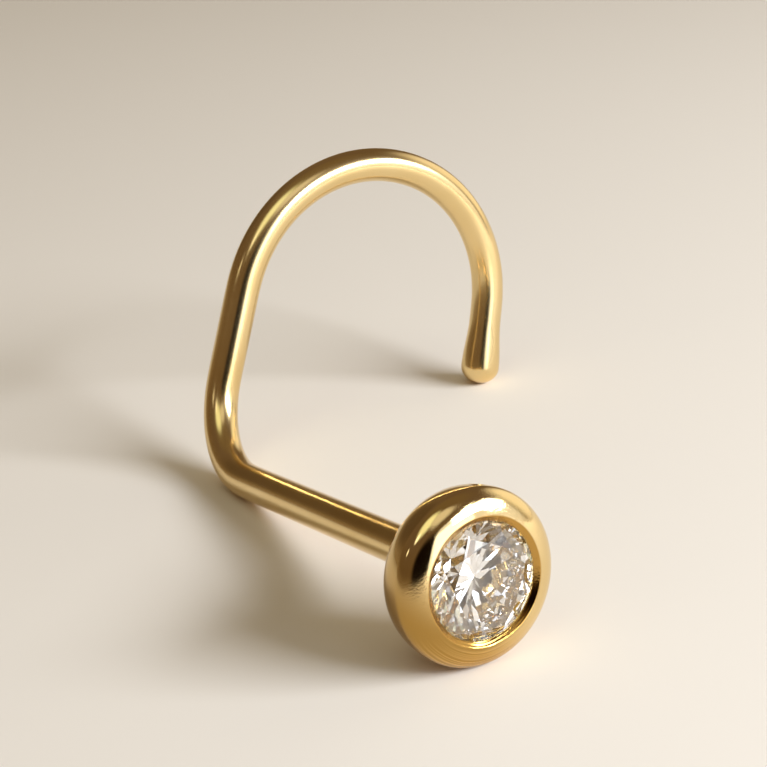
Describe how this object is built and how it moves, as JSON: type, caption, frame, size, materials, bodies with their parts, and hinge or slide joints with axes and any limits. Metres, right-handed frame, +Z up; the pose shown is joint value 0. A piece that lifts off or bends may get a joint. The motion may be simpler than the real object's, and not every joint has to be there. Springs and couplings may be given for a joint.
{
  "type": "nose stud",
  "caption": "Bezel-set nose stud: a round brilliant in a plump gold rim, on a wire whose end is bent up and hooked over to hold it inside the nostril.",
  "frame": {"origin": "middle of the footprint's box, on the surface that the stud lies on", "axes": "+Z up from that surface; +Y in plan along the post, from the stone towards the bend; +X towards the side that the hook curls to"},
  "size_m": [0.0086, 0.0104, 0.0052],
  "materials": {
    "gold": "polished yellow gold",
    "diamond": "colourless, brilliant cut and polished"
  },
  "bodies": {
    "root": {"setting_and_wire": "gold", "stone": "diamond"}
  },
  "joints": []
}
